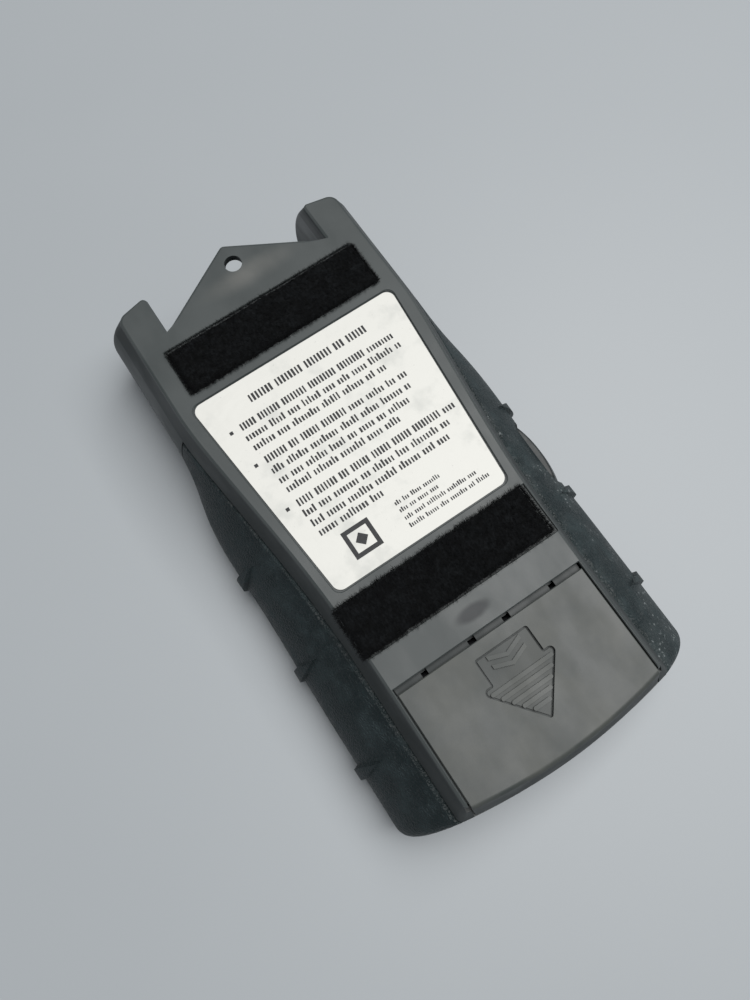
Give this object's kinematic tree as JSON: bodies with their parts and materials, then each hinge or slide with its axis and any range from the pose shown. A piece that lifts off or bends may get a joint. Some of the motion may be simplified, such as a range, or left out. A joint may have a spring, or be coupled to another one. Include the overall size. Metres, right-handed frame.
{
  "type": "stud finder",
  "caption": "Hand-held electronic stud finder: tapered two-shell case with rubber grips, side button, felt wall pads, hanging tab between two horns and a slide-off battery door.",
  "frame": {"origin": "centre of the bounding box's bottom, on the surface the tool lies on when it rests on its front", "axes": "+Z out of the flat wall face, +Y towards the sensing end with the horns and hanging tab, +X towards the side button"},
  "size_m": [0.0864, 0.1575, 0.0348],
  "materials": {
    "housing_plastic": "moulded, lightly polished by handling",
    "door_plastic": "moulded, faint flow mottling",
    "grip_rubber": "fine leather-grain moulded rubber",
    "button_rubber": "smooth moulded rubber",
    "felt": "short dense pile",
    "label_film": "matt laminated label stock",
    "panel_film": "printed film",
    "lens_red": "tinted transparent",
    "lens_green": "tinted transparent",
    "led_red": "epoxy, clear tinted",
    "led_green": "epoxy, clear tinted",
    "board_laminate": "solder mask over glass fibre laminate",
    "copper": "bare foil",
    "chip_epoxy": "moulded epoxy with tinned legs",
    "capacitor_sleeve": "shrink sleeve",
    "resistor_coat": "lacquer coat",
    "trimmer_plastic": "moulded",
    "buzzer_plastic": "moulded",
    "switch_plastic": "moulded",
    "plunger_plastic": "moulded",
    "battery_jacket": "printed metal jacket",
    "contact_steel": "nickel plated",
    "contact_block_plastic": "moulded",
    "lead_red": "insulation",
    "lead_black": "insulation",
    "foam": "closed cell foam",
    "screw_steel": "zinc plated"
  },
  "bodies": {
    "housing": {"back_shell": "housing_plastic", "front_shell": "housing_plastic", "left_grip": "grip_rubber", "right_grip": "grip_rubber", "tactile_switch": "switch_plastic", "battery": "battery_jacket", "battery_contacts": "contact_steel", "contact_block": "contact_block_plastic", "battery_lead_red": "lead_red", "battery_lead_black": "lead_black", "circuit_board": "board_laminate", "sensor_plates": "copper", "controller_chip": "chip_epoxy", "capacitors": "capacitor_sleeve", "resistors": "resistor_coat", "transistors": "chip_epoxy", "calibration_trimmer": "trimmer_plastic", "buzzer": "buzzer_plastic", "stud_led": "led_red", "ready_led": "led_green", "stud_light_lens": "lens_red", "ready_light_lens": "lens_green", "felt_pad_upper": "felt", "felt_pad_lower": "felt", "instruction_label": "label_film", "front_panel": "panel_film", "case_screws": "screw_steel", "board_screws": "screw_steel"},
    "door": {"battery_door": "door_plastic", "battery_foam_pad": "foam"},
    "button": {"side_button": "button_rubber"},
    "plunger": {"switch_plunger": "plunger_plastic"}
  },
  "joints": [
    {"name": "door_slide", "type": "slide", "parent": "housing", "child": "door", "axis": [0, -1, 0], "range_m": [0, 0.036]},
    {"name": "button_press", "type": "slide", "parent": "housing", "child": "button", "axis": [-1, 0, 0], "range_m": [0, 0.0008], "stiffness_N_per_m": 800, "springref_m": -0.001},
    {"name": "plunger_press", "type": "slide", "parent": "housing", "child": "plunger", "axis": [-1, 0, 0], "range_m": [0, 0.001]}
  ],
  "couplings": [
    {"joint": "plunger_press", "follows": "button_press", "ratio": 1}
  ]
}
